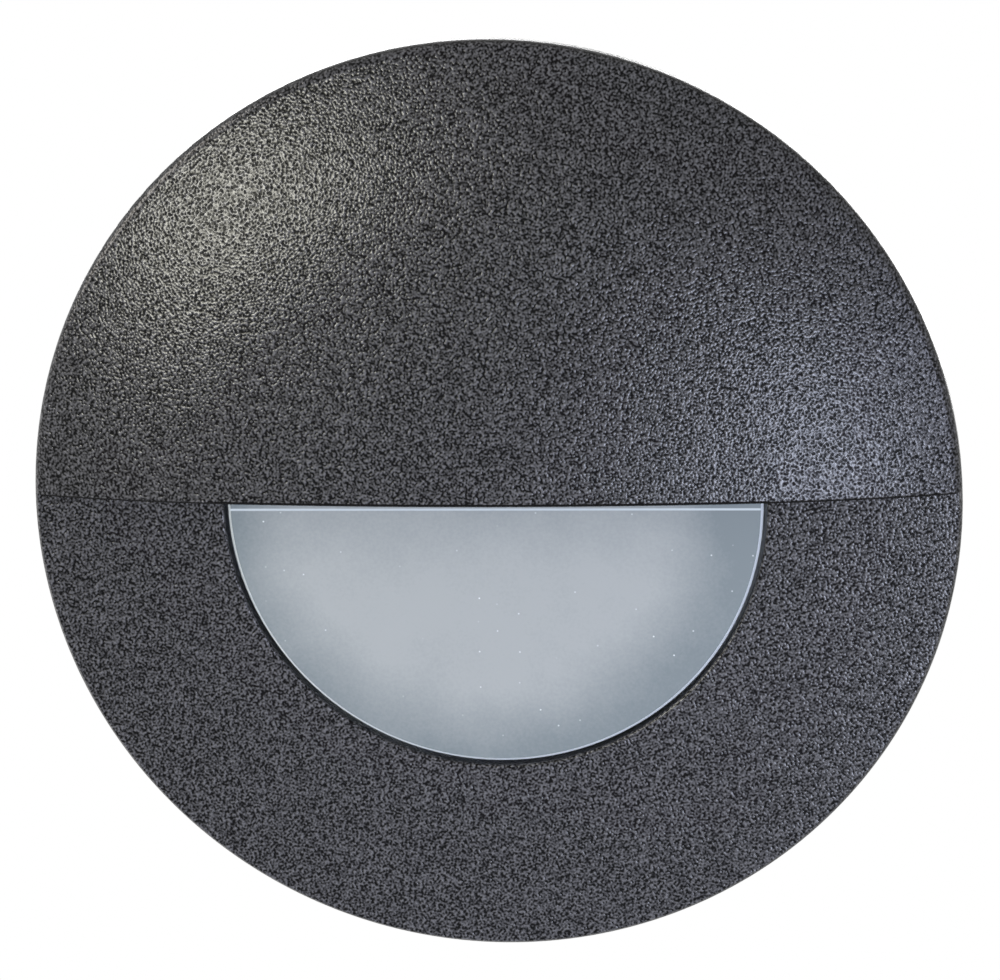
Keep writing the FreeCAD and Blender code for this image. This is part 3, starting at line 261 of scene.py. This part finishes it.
materials = {
    "powder_coat": coatMaterial("anthracite textured powder coat", coat),
    "frosted_lens": frostMaterial("moulded frosted polycarbonate", frost),
    # closed-cell foam, cut: matt with fine open cells
    "foam": grainedMaterial("cut closed-cell foam", {
        "dark": "#141414", "light": "#2a2a2b", "roughness": 0.9,
        "grain": 0.3, "depth": 0.08, "drift": 5.0}),
    # moulded silicone: black, matt
    "silicone": grainedMaterial("moulded black silicone", {
        "dark": "#0d0d0e", "light": "#171718", "roughness": 0.6,
        "grain": 0.5, "depth": 0.01, "drift": 6.0}),
    # stainless sheet, stamped and tumbled: bright with a faint rolled grain
    "stamped_steel": grainedMaterial("stamped stainless sheet", {
        "dark": "#adb0b3", "light": "#bfc2c5", "roughness": 0.33,
        "grain": 0.35, "depth": 0.006, "drift": 4.0, "metallic": 1.0}),
    # stainless spring wire, drawn: smooth and bright
    "spring_steel": grainedMaterial("drawn stainless spring wire", {
        "dark": "#9b9da0", "light": "#c0c2c5", "roughness": 0.28,
        "grain": 0.2, "depth": 0.004, "drift": 2.0, "metallic": 1.0}),
    # stainless screws, cold headed and tumbled: soft sheen
    "screw_steel": grainedMaterial("tumbled stainless steel", {
        "dark": "#a7a8aa", "light": "#cacbcc", "roughness": 0.3,
        "grain": 0.2, "depth": 0.004, "drift": 1.5, "metallic": 1.0}),
    # moulded white polycarbonate: plain satin
    "white_plastic": grainedMaterial("moulded white polycarbonate", {
        "dark": "#dddedc", "light": "#ebece9", "roughness": 0.4,
        "grain": 0.4, "depth": 0.005, "drift": 8.0}),
    # white solder mask on aluminium, printed: satin
    "board_white": grainedMaterial("white solder mask", {
        "dark": "#d6d8d8", "light": "#e6e8e8", "roughness": 0.35,
        "grain": 0.3, "depth": 0.004, "drift": 5.0}),
    # phosphor in clear resin, cast: yellow, smooth
    "phosphor": grainedMaterial("cast phosphor resin", {
        "dark": "#c9a63a", "light": "#dcbf55", "roughness": 0.3,
        "grain": 0.15, "depth": 0.004, "drift": 1.0}),
    # silicone gap pad, cut: soft and matt
    "gap_pad": grainedMaterial("cut silicone gap pad", {
        "dark": "#7c8790", "light": "#8f9aa3", "roughness": 0.8,
        "grain": 0.3, "depth": 0.01, "drift": 5.0}),
    # die-cast aluminium, shot blasted and bare: pale grey with a soft sparkle
    "cast_aluminium": grainedMaterial("blasted die-cast aluminium", {
        "dark": "#95989b", "light": "#abaeb1", "roughness": 0.48,
        "grain": 0.28, "depth": 0.03, "drift": 7.0, "metallic": 1.0}),
    # green solder mask on glass fibre laminate, printed: smooth
    "board_green": grainedMaterial("green solder mask", {
        "dark": "#1d4a2e", "light": "#28603c", "roughness": 0.35,
        "grain": 0.4, "depth": 0.005, "drift": 5.0}),
    # turned brass: bright and warm
    "brass_spacer": grainedMaterial("turned brass", {
        "dark": "#a88a4a", "light": "#c8a960", "roughness": 0.3,
        "grain": 0.15, "depth": 0.003, "drift": 1.5, "metallic": 1.0}),
    # polyester winding tape, wound: smooth yellow
    "winding_tape": grainedMaterial("wound polyester tape", {
        "dark": "#b8952a", "light": "#cfab3c", "roughness": 0.35,
        "grain": 0.6, "depth": 0.01, "drift": 5.0}),
    # capacitor can in a shrunk sleeve: dark blue, smooth
    "can_aluminium": grainedMaterial("shrunk can sleeve", {
        "dark": "#1c2430", "light": "#273140", "roughness": 0.35,
        "grain": 0.4, "depth": 0.004, "drift": 5.0}),
    # moulded polyamide, grey: satin
    "terminal_grey": grainedMaterial("moulded grey polyamide", {
        "dark": "#6b7075", "light": "#7b8085", "roughness": 0.5,
        "grain": 0.4, "depth": 0.006, "drift": 5.0}),
    # moulded polyamide, black: satin with a spark-eroded grain
    "nylon_black": grainedMaterial("moulded black polyamide", {
        "dark": "#151516", "light": "#222224", "roughness": 0.48,
        "grain": 0.3, "depth": 0.02, "drift": 4.0}),
    # moulded rubber: matt black
    "foot_rubber": grainedMaterial("moulded black rubber", {
        "dark": "#161616", "light": "#242424", "roughness": 0.7,
        "grain": 0.3, "depth": 0.02, "drift": 3.0}),
}
for entry in frame["record"]["subparts"]:
    mesh = nodes[entry["node"]].data
    mesh.materials.clear()
    mesh.materials.append(materials[entry["material_slot"]])
print("finishes made:", len(materials))

# For every new piece: doubles closer than this in mm are merged, and edges sharper than this in degrees
# stay crisp.
finishing = {"weld": 0.001, "sharpFrom": 35}


def finishPiece(bm, name, slotName):
    bmesh.ops.remove_doubles(bm, verts=bm.verts, dist=finishing["weld"] * mm)
    bmesh.ops.recalc_face_normals(bm, faces=bm.faces)
    # an extrusion makes its faces in a new order each run, so they are put in the order of their corners
    bm.verts.index_update()
    count = len(bm.verts)
    bm.faces.sort(key=lambda face: face.loops[0].vert.index * count + face.loops[1].vert.index)
    for face in bm.faces:
        face.smooth = True
    mesh = bpy.data.meshes.new(name)
    bm.to_mesh(mesh)
    bm.free()
    piece = bpy.data.objects.new(name, mesh)
    scene.collection.objects.link(piece)
    mesh.materials.append(materials[slotName])
    mesh.set_sharp_from_angle(angle=math.radians(finishing["sharpFrom"]))
    return piece


# Torsion spring of one clip, about its hinge pin: tail up through the bracket, coils, leg along the arm,
# hook through the arm. All sizes in mm, angles in degrees seen from above the pin.
spring = {"wire": 0.45, "mean": 2.2, "pitch": 1.4,  # radius of the wire, radius of its coils, their rise
          "begin": 190.0, "fullTurns": 4.0, "armAngle": 64.0, "tailLow": -6.1,
          "bend": 1.1, "level": 6.6,  # radii of the tight bends, and of the wide one after the coils
          "hookPlace": 10.0, "hookPast": 1.05, "pivot": (29.8, 27.5, 0.0),
          "sides": 16, "stepsPerTurn": 40, "bendSteps": 10, "levelSteps": 4}


# The wire grows from its open end: pushed straight on, or swung round a bend towards a new heading.
class Wire:
    def __init__(self, spot, heading, radius, sides):
        self.bm = bmesh.new()
        self.spot, self.heading = Vector(spot), Vector(heading)
        facing = self.heading.to_track_quat("Z", "Y").to_matrix().to_4x4()
        made = bmesh.ops.create_circle(self.bm, segments=sides, radius=radius,
                                       matrix=Matrix.Translation(self.spot) @ facing)
        self.end = list(dict.fromkeys(edge for vert in made["verts"] for edge in vert.link_edges))

    def straight(self, length):
        made = bmesh.ops.extrude_edge_only(self.bm, edges=self.end)["geom"]
        step = self.heading * length
        fresh = [part for part in made if isinstance(part, bmesh.types.BMVert)]
        edges = [part for part in made if isinstance(part, bmesh.types.BMEdge)]
        bmesh.ops.translate(self.bm, verts=fresh, vec=step)
        self.end = [edge for edge in edges if len(edge.link_faces) == 1]
        self.spot += step

    def spin(self, centre, axis, angle, steps, climb=0.0):
        rise = axis * (climb / steps)
        made = bmesh.ops.spin(self.bm, geom=self.end, cent=centre, axis=axis, dvec=rise, angle=angle,
                              steps=steps, use_duplicate=False, use_merge=False)["geom_last"]
        self.end = [part for part in made if isinstance(part, bmesh.types.BMEdge)]
        swing = Matrix.Rotation(angle, 3, axis)
        self.spot = centre + swing @ (self.spot - centre) + axis * climb
        self.heading = swing @ self.heading

    def bendTo(self, heading, radius, steps):
        axis = self.heading.cross(heading).normalized()
        centre = self.spot + axis.cross(self.heading) * radius
        self.spin(centre, axis, self.heading.angle(heading), steps)


# One spring, for the right-hand clip, or turned half round for the left, and the two ends of its coils.
def springPiece(name, look, hand):
    unit = {key: look[key] * mm
            for key in ("wire", "mean", "pitch", "tailLow", "bend", "level", "hookPlace", "hookPast")}
    begin = math.radians(look["begin"])
    finish = math.radians(90 - look["armAngle"])
    sweep = begin - finish + 2 * math.pi * look["fullTurns"]
    rise = unit["pitch"] / (2 * math.pi)
    up = Vector((0, 0, 1))
    leg = Vector((math.sin(finish), -math.cos(finish), 0))
    hook = Vector((-math.cos(finish), -math.sin(finish), 0))
    first = Vector((unit["mean"] * math.cos(begin), unit["mean"] * math.sin(begin), -0.5 * rise * sweep))
    heading = Vector((unit["mean"] * math.sin(begin), -unit["mean"] * math.cos(begin), rise)).normalized()
    setBack = unit["bend"] * math.tan(up.angle(heading) / 2)
    corner = first - heading * setBack
    wire = Wire((corner.x, corner.y, unit["tailLow"]), up, unit["wire"], look["sides"])
    wire.straight(corner.z - setBack - unit["tailLow"])
    wire.bendTo(heading, unit["bend"], look["bendSteps"])
    coilSteps = round(look["stepsPerTurn"] * sweep / (2 * math.pi))
    wire.spin(Vector((0, 0, 0)), -up, sweep, coilSteps, -rise * sweep)
    wire.bendTo(leg, unit["level"], look["levelSteps"])
    wire.straight(unit["hookPlace"] - unit["bend"] - wire.spot.dot(leg))
    wire.bendTo(hook, unit["bend"], look["bendSteps"])
    wire.straight(unit["mean"] - unit["bend"] + unit["hookPast"])
    bmesh.ops.holes_fill(wire.bm, edges=wire.bm.edges, sides=0)
    bmesh.ops.translate(wire.bm, verts=wire.bm.verts, vec=Vector(look["pivot"]) * mm)
    if hand < 0:
        halfTurn = Matrix.Rotation(math.pi, 3, "Y")
        bmesh.ops.rotate(wire.bm, verts=wire.bm.verts, cent=(0, 0, 0), matrix=halfTurn)
    piece = finishPiece(wire.bm, name, "spring_steel")
    half = 0.5 * rise * sweep * hand
    middle = Vector(look["pivot"]) * mm
    middle.x *= hand
    return piece, middle - up * half, middle + up * half


for side, hand in (("left", -1), ("right", 1)):
    piece, low, high = springPiece("spring_" + side, spring, hand)
    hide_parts("clip_spring_" + side)
    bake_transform(piece)
print("springs wound")


# Places that stand evenly round a circle, from a start in degrees.
def onCircle(pitch, count, start):
    turns = [math.radians(start + 360 * k / count) for k in range(count)]
    return [(pitch * math.cos(turn), pitch * math.sin(turn)) for turn in turns]


# Stainless pan head screws with a hexagon socket, in mm. For each set: the radius and height of the heads,
# the radius and length of the shanks, the radius and depth of the sockets, the way that the heads point,
# and the spots on the face under the heads where the screws stand.
screwSets = {
    "cover_screws": {"head": 2.2, "tall": 1.6, "shank": 1.25, "long": 9.0, "socket": 1.15, "deep": 0.9,
                     "out": (0, 1, 0), "places": [(x, 47.8, z) for x, z in onCircle(21.0, 3, 90)]},
    "housing_screws": {"head": 2.2, "tall": 1.6, "shank": 1.25, "long": 9.0, "socket": 1.15, "deep": 0.9,
                       "out": (0, 1, 0), "places": [(x, 11.3, z) for x, z in onCircle(30.4, 4, 45)]},
    "clip_screws_left": {"head": 2.1, "tall": 0.9, "shank": 1.25, "long": 4.4, "socket": 0.9, "deep": 0.5,
                         "out": (-1, 0, 0), "places": [(-27.0, 17.4, 0), (-27.0, 32.6, 0)]},
    "clip_screws_right": {"head": 2.1, "tall": 0.9, "shank": 1.25, "long": 4.4, "socket": 0.9, "deep": 0.5,
                          "out": (1, 0, 0), "places": [(27.0, 17.4, 0), (27.0, 32.6, 0)]},
}

# The shape that they share: a blunt point as shares of the shank's radius, and a domed crown as shares of
# the head's radius and height.
screwShape = {"sides": 32, "socketSides": 6, "pointRadius": 0.7, "pointTall": 0.3,
              "crown": ((1.0, 0.5), (0.95, 0.72), (0.85, 0.9), (0.7, 1.0))}


# One more ring of a turned shape: the open end is carried on to a new radius and height.
def carryOn(bm, end, radius, height):
    spot = end[0].verts[0].co.copy()
    before = math.hypot(spot.x, spot.y)
    made = bmesh.ops.extrude_edge_only(bm, edges=end)["geom"]
    fresh = [part for part in made if isinstance(part, bmesh.types.BMVert)]
    bmesh.ops.scale(bm, verts=fresh, vec=(radius / before, radius / before, 1))
    bmesh.ops.translate(bm, verts=fresh, vec=(0, 0, height - spot.z))
    return [part for part in made if isinstance(part, bmesh.types.BMEdge) and len(part.link_faces) == 1]


def openRing(bm, radius, height, sides):
    made = bmesh.ops.create_circle(bm, segments=sides, radius=radius,
                                   matrix=Matrix.Translation((0, 0, height)))
    return list(dict.fromkeys(edge for vert in made["verts"] for edge in vert.link_edges))


def addScrew(bm, look, shape, place):
    one = bmesh.new()
    head, tall, shank, low = look["head"] * mm, look["tall"] * mm, look["shank"] * mm, -look["long"] * mm
    end = openRing(one, shape["pointRadius"] * shank, low, shape["sides"])
    bmesh.ops.contextual_create(one, geom=end)
    rings = [(shank, low + shape["pointTall"] * shank), (shank, 0), (head, 0)]
    rings += [(wide * head, high * tall) for wide, high in shape["crown"]]
    for radius, height in rings:
        end = carryOn(one, end, radius, height)
    # joined to the crown from below and then lifted level with it, because a bridge between two rings in
    # one plane can come out inside out
    mouth = openRing(one, look["socket"] * mm, tall - look["deep"] * mm, shape["socketSides"])
    corners = list(dict.fromkeys(vert for edge in mouth for vert in edge.verts))
    bmesh.ops.bridge_loops(one, edges=end + mouth)
    bmesh.ops.translate(one, verts=corners, vec=(0, 0, look["deep"] * mm))
    socketFloor = carryOn(one, mouth, look["socket"] * mm, tall - look["deep"] * mm)
    bmesh.ops.contextual_create(one, geom=socketFloor)
    facing = Vector(look["out"]).to_track_quat("Z", "Y").to_matrix().to_4x4()
    bmesh.ops.transform(one, matrix=Matrix.Translation(Vector(place) * mm) @ facing, verts=one.verts)
    holder = bpy.data.meshes.new("one screw")
    one.to_mesh(holder)
    one.free()
    bm.from_mesh(holder)
    bpy.data.meshes.remove(holder)


for name, look in screwSets.items():
    bm = bmesh.new()
    for place in look["places"]:
        addScrew(bm, look, screwShape, place)
    piece = finishPiece(bm, name.replace("screws", "socket_screws"), "screw_steel")
    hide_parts(name)
    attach(piece, "root")
print("screws placed")


# A direction from the light, in degrees: azimuth 0 is straight out of the wall, 90 the viewer's right.
def outwards(azimuth, elevation):
    across, up = math.radians(azimuth), math.radians(elevation)
    return Vector((math.sin(across) * math.cos(up), -math.cos(across) * math.cos(up), math.sin(up)))


# The photograph's camera: a long lens a little above and to the right of the light's axis. Target, lens and
# sensor in mm, angles in degrees, distance and clipping in metres.
shot = {"target": (0.54, -1.70, 1.16), "azimuth": 6.06, "elevation": 14.23, "roll": -1.58, "distance": 0.4,
        "lens": 149.0, "sensor": 36.0, "clipNear": 0.05, "clipFar": 20.0}
back = outwards(shot["azimuth"], shot["elevation"])
across = Vector((0, 0, 1)).cross(back).normalized()
facing = Matrix((across, back.cross(across), back)).transposed().to_4x4()
camera = bpy.data.objects.new("camera", bpy.data.cameras.new("camera"))
camera.data.sensor_width = shot["sensor"]
camera.data.lens = shot["lens"]
camera.data.clip_start = shot["clipNear"]
camera.data.clip_end = shot["clipFar"]
camera.matrix_world = (Matrix.Translation(Vector(shot["target"]) * mm + back * shot["distance"]) @ facing
                       @ Matrix.Rotation(math.radians(shot["roll"]), 4, "Z"))
scene.collection.objects.link(camera)
scene.camera = camera

# Round soft boxes: where each stands in degrees and metres, its width in metres, its power in watts and its
# tint. The first two give the front its warm and its cool side, the next three fill it in, and the last two
# light the back.
softBoxes = {
    "warm box": {"azimuth": -28, "elevation": 12, "away": 0.5, "size": 0.16, "power": 1.02,
                 "tint": "#fffdec"},
    "cool box": {"azimuth": 20, "elevation": -12, "away": 0.5, "size": 0.16, "power": 0.94,
                 "tint": "#dde6ff"},
    "side box": {"azimuth": 46, "elevation": 0, "away": 0.5, "size": 0.2, "power": 0.46,
                 "tint": "#d8dfff"},
    "low box": {"azimuth": -4, "elevation": -24, "away": 0.5, "size": 0.2, "power": 0.13,
                "tint": "#d8deff"},
    "rim box": {"azimuth": -74, "elevation": 28, "away": 0.5, "size": 0.3, "power": 1.3,
                "tint": "#fff8ec"},
    "left back box": {"azimuth": -166, "elevation": 5, "away": 0.6, "size": 0.3, "power": 0.7,
                      "tint": "#ffffff"},
    "right back box": {"azimuth": 166, "elevation": 5, "away": 0.6, "size": 0.3, "power": 0.7,
                       "tint": "#ffffff"},
}
for name, box in softBoxes.items():
    lamp = bpy.data.lights.new(name, "AREA")
    lamp.shape = "DISK"
    lamp.size = box["size"]
    lamp.energy = box["power"]
    lamp.color = linear(box["tint"])[:3]
    holder = bpy.data.objects.new(name, lamp)
    towards = outwards(box["azimuth"], box["elevation"])
    holder.location = towards * box["away"]
    holder.rotation_mode = "QUATERNION"
    holder.rotation_quaternion = towards.to_track_quat("Z", "Y")
    holder.visible_camera = False
    scene.collection.objects.link(holder)


# What the camera, gloss and clear pieces see as plain white; everything else is lit more softly by it.
def seenDirectly(tree):
    ray = addNode(tree, "LightPath").outputs
    seen = addNode(tree, "Math", {0: ray["Is Camera Ray"], 1: ray["Is Glossy Ray"]}, operation="MAXIMUM")
    return addNode(tree, "Math", {0: seen.outputs["Value"], 1: ray["Is Transmission Ray"]},
                   operation="MAXIMUM").outputs["Value"]


# White studio, in metres: how far the floor lies below the light, how wide it is, and the distances over
# which it fades into the backdrop. The ambient is the backdrop's strength as a light, where 1 is white.
backdrop = {"ambient": 0.22, "floorDown": 0.30, "floorWide": 8.0, "whiteFrom": 0.32, "whiteTo": 0.60,
            "floorColour": "#f1f1f1", "floorRoughness": 0.9}
world = bpy.data.worlds.new("studio")
world.use_nodes = True
world.node_tree.nodes.clear()
strength = addNode(world.node_tree, "MapRange", {"Value": seenDirectly(world.node_tree),
                                                 "To Min": backdrop["ambient"], "To Max": 1.0})
sky = addNode(world.node_tree, "Background", {"Color": (1, 1, 1, 1),
                                              "Strength": strength.outputs["Result"]})
addNode(world.node_tree, "OutputWorld", {"Surface": sky.outputs["Background"]})
scene.world = world

# Painted studio floor: matt white near the light, where it keeps the shadow, fading into the backdrop.
floorPaint, tree = emptyMaterial("matt white floor paint")
place = addNode(tree, "TexCoord").outputs["Object"]
reach = addNode(tree, "VectorMath", {0: place}, operation="LENGTH").outputs["Value"]
fade = addNode(tree, "MapRange", {"Value": reach, "From Min": backdrop["whiteFrom"],
                                  "From Max": backdrop["whiteTo"]}, interpolation_type="SMOOTHSTEP")
fade = addNode(tree, "Math", {0: fade.outputs["Result"], 1: seenDirectly(tree)}, operation="MULTIPLY")
matt = addNode(tree, "BsdfPrincipled", {"Base Color": linear(backdrop["floorColour"]),
                                        "Roughness": backdrop["floorRoughness"]})
plain = addNode(tree, "Emission", {"Color": (1, 1, 1, 1), "Strength": 1.0})
floorMix = addNode(tree, "MixShader", {0: fade.outputs["Value"], 1: matt.outputs["BSDF"],
                                       2: plain.outputs["Emission"]})
addNode(tree, "OutputMaterial", {"Surface": floorMix.outputs["Shader"]})
bm = bmesh.new()
bmesh.ops.create_grid(bm, x_segments=1, y_segments=1, size=backdrop["floorWide"] / 2,
                      matrix=Matrix.Translation((0, 0, -backdrop["floorDown"])))
floorMesh = bpy.data.meshes.new("floor")
bm.to_mesh(floorMesh)
bm.free()
floorMesh.materials.append(floorPaint)
floorPiece = bpy.data.objects.new("floor", floorMesh)
scene.collection.objects.link(floorPiece)
floorPiece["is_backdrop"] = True
print("camera, lamps, floor and world placed")

low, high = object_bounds()
